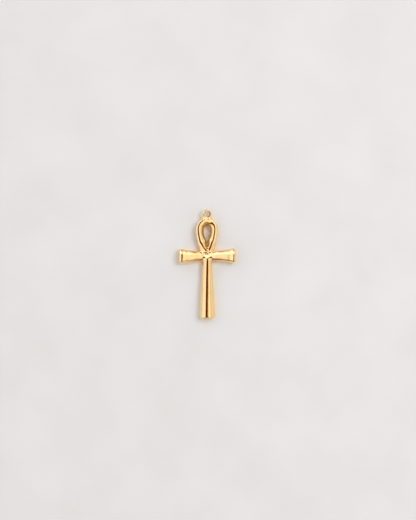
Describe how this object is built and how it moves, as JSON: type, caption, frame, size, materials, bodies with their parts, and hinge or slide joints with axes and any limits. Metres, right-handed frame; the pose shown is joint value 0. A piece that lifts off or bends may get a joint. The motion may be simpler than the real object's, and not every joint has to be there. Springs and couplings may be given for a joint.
{
  "type": "ankh pendant",
  "caption": "Small cast ankh charm with a teardrop loop, flared arms and stem, and a pierced eye for a jump ring.",
  "frame": {"origin": "middle of the pendant's outline, at the surface that it lies on", "axes": "+Y up the stem to the eye, +X across the arms, +Z out of the front"},
  "size_m": [0.012, 0.023, 0.0025],
  "materials": {
    "gold_plate": "yellow gold plate over cast brass, polished"
  },
  "bodies": {
    "root": {"ankh": "gold_plate"}
  },
  "joints": []
}
